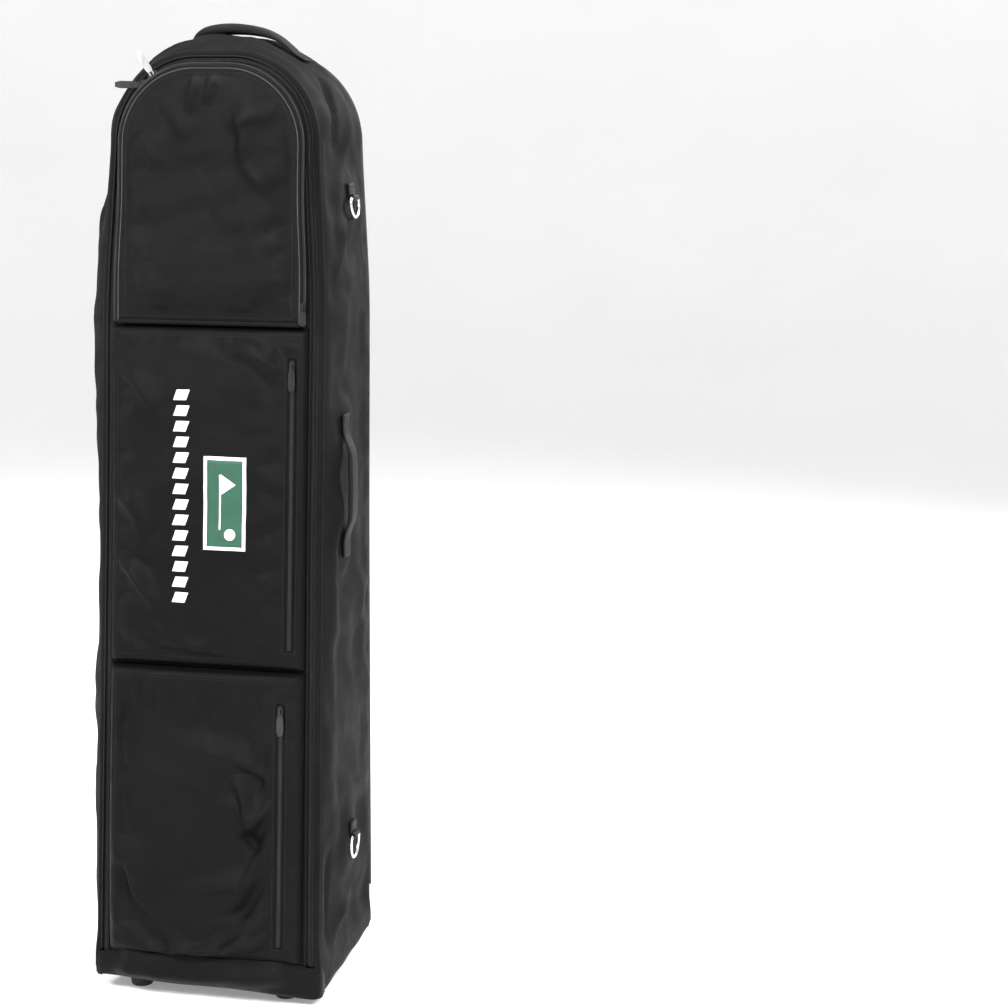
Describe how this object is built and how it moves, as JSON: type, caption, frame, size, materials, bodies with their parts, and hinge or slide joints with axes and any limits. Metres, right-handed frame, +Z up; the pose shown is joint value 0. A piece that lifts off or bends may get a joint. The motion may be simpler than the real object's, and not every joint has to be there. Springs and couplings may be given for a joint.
{
  "type": "golf travel case",
  "caption": "Upright soft travel case for a golf bag, with a hinged zip lid, pockets, skid rails, inset rear wheels, handles and strap rings.",
  "frame": {"origin": "on the floor, under the middle of the case's bounding box", "axes": "+Z up; -Y out of the zipped front lid; +Y out of the back with the skid rails; +X towards the side with the grab handle and strap rings"},
  "size_m": [0.3308, 0.2875, 1.219],
  "materials": {
    "oxford_cloth": "black woven polyester, matt",
    "coated_cloth": "black coated polyester, slight sheen",
    "back_cloth": "charcoal woven polyester, matt",
    "webbing": "black ribbed webbing",
    "zip_tape": "black zip tape",
    "base_plastic": "black moulded plastic, fine texture",
    "skid_plastic": "dark grey plastic, satin",
    "cap_grey": "light grey plastic",
    "board": "black stiffener board",
    "foot_rubber": "black rubber",
    "urethane": "pale grey translucent urethane",
    "white_nylon": "white nylon",
    "clear_vinyl": "clear soft vinyl",
    "card": "plain white card",
    "nickel": "nickel plate",
    "steel_fixing": "zinc plated",
    "gunmetal": "black enamelled zinc"
  },
  "bodies": {
    "case": {"base_tray": "base_plastic", "foot_l": "foot_rubber", "foot_r": "foot_rubber", "foot_screw_l": "steel_fixing", "foot_screw_r": "steel_fixing", "housing_screw_l": "steel_fixing", "housing_screw_r": "steel_fixing", "wheel_bracket_l": "nickel", "wheel_bracket_r": "nickel", "wheel_axle_l": "steel_fixing", "wheel_axle_r": "steel_fixing", "skid_rail_l": "skid_plastic", "skid_rail_r": "skid_plastic", "rail_cap_l": "cap_grey", "rail_cap_r": "cap_grey", "rail_rivet_l1": "steel_fixing", "rail_rivet_l2": "steel_fixing", "rail_rivet_l3": "steel_fixing", "rail_rivet_r1": "steel_fixing", "rail_rivet_r2": "steel_fixing", "rail_rivet_r3": "steel_fixing", "back_board": "board", "back_lower_panel": "skid_plastic", "back_upper_panel": "back_cloth", "back_slip_pocket": "back_cloth", "id_holder": "webbing", "id_window": "clear_vinyl", "id_card": "card", "back_ring_loop": "webbing", "upper_side_loop": "webbing", "lower_side_loop": "webbing", "side_gusset": "oxford_cloth", "top_handle": "webbing", "side_handle": "webbing", "main_zip_case_tape": "zip_tape"},
    "lid": {"lid_panel": "oxford_cloth", "main_zip_lid_tape": "zip_tape", "lower_pocket": "oxford_cloth", "lower_pocket_zip": "zip_tape", "middle_pocket": "coated_cloth", "middle_pocket_zip": "zip_tape", "upper_pocket_wall": "oxford_cloth"},
    "pocket_flap": {"upper_pocket_flap": "oxford_cloth"},
    "wheel_left": {"tyre_l": "urethane", "hub_l": "white_nylon"},
    "wheel_right": {"tyre_r": "urethane", "hub_r": "white_nylon"},
    "ring_back": {"back_d_ring": "nickel"},
    "ring_upper": {"upper_side_ring": "nickel"},
    "ring_lower": {"lower_side_ring": "nickel"},
    "slider_a": {"main_slider_a": "gunmetal"},
    "pull_a": {"main_pull_a": "gunmetal"},
    "slider_b": {"main_slider_b": "gunmetal"},
    "pull_b": {"main_pull_b": "nickel"},
    "slider_middle": {"middle_slider": "gunmetal"},
    "pull_middle": {"middle_pull": "gunmetal"},
    "slider_lower": {"lower_slider": "gunmetal"},
    "pull_lower": {"lower_pull": "gunmetal"},
    "slider_upper": {"upper_slider": "gunmetal"},
    "pull_upper": {"upper_pull": "gunmetal"}
  },
  "joints": [
    {"name": "lid_fold", "type": "hinge", "parent": "case", "child": "lid", "pos_m": [0, -0.106, 0.0445], "axis": [1, 0, 0], "range_deg": [0, 93]},
    {"name": "pocket_flap_fold", "type": "hinge", "parent": "lid", "child": "pocket_flap", "pos_m": [0, -0.0785, 0.85197], "axis": [1, 0, 0], "range_deg": [0, 150]},
    {"name": "wheel_left_spin", "type": "hinge", "parent": "case", "child": "wheel_left", "pos_m": [-0.0925, 0.119, 0.024], "axis": [1, 0, 0], "continuous": true},
    {"name": "wheel_right_spin", "type": "hinge", "parent": "case", "child": "wheel_right", "pos_m": [0.0925, 0.119, 0.024], "axis": [1, 0, 0], "continuous": true},
    {"name": "ring_back_swing", "type": "hinge", "parent": "case", "child": "ring_back", "pos_m": [-0.0045, 0.13835, 1.1235], "axis": [1, 0, 0], "range_deg": [0, 150]},
    {"name": "ring_upper_swing", "type": "hinge", "parent": "case", "child": "ring_upper", "pos_m": [0.15476, 0.03, 1.006], "axis": [0, -1, 0], "range_deg": [0, 150]},
    {"name": "ring_lower_swing", "type": "hinge", "parent": "case", "child": "ring_lower", "pos_m": [0.16174, 0.012, 0.192], "axis": [0, -1, 0], "range_deg": [0, 150]},
    {"name": "slider_a_travel", "type": "hinge", "parent": "case", "child": "slider_a", "pos_m": [-0.023, -0.05212, 1.07259], "axis": [0, -0.9986, 0.0523], "range_deg": [0, 38]},
    {"name": "slider_b_travel", "type": "hinge", "parent": "case", "child": "slider_b", "pos_m": [-0.023, -0.05212, 1.07259], "axis": [0, -0.9986, 0.0523], "range_deg": [-33, 0]},
    {"name": "pull_a_swing", "type": "hinge", "parent": "slider_a", "child": "pull_a", "pos_m": [-0.09385, -0.04964, 1.14098], "axis": [0, 0.0523, 0.9986], "range_deg": [0, 96]},
    {"name": "pull_b_swing", "type": "hinge", "parent": "slider_b", "child": "pull_b", "pos_m": [-0.0795, -0.049, 1.15322], "axis": [0.8192, 0.03, 0.5728], "range_deg": [0, 96]},
    {"name": "slider_middle_travel", "type": "slide", "parent": "lid", "child": "slider_middle", "axis": [0, -0.0523, -0.9986], "range_m": [0, 0.34]},
    {"name": "pull_middle_swing", "type": "hinge", "parent": "slider_middle", "child": "pull_middle", "pos_m": [0.108, -0.08143, 0.80175], "axis": [-1, 0, 0], "range_deg": [0, 165]},
    {"name": "slider_lower_travel", "type": "slide", "parent": "lid", "child": "slider_lower", "axis": [0, -0.0523, -0.9986], "range_m": [0, 0.288]},
    {"name": "pull_lower_swing", "type": "hinge", "parent": "slider_lower", "child": "pull_lower", "pos_m": [0.1, -0.10772, 0.37655], "axis": [-1, 0, 0], "range_deg": [0, 165]},
    {"name": "slider_upper_travel", "type": "slide", "parent": "lid", "child": "slider_upper", "axis": [0, 0.0523, 0.9986], "range_m": [0, 0.185]},
    {"name": "pull_upper_swing", "type": "hinge", "parent": "slider_upper", "child": "pull_upper", "pos_m": [0.1215, -0.07906, 0.87373], "axis": [-1, 0, 0], "range_deg": [0, 165]}
  ]
}
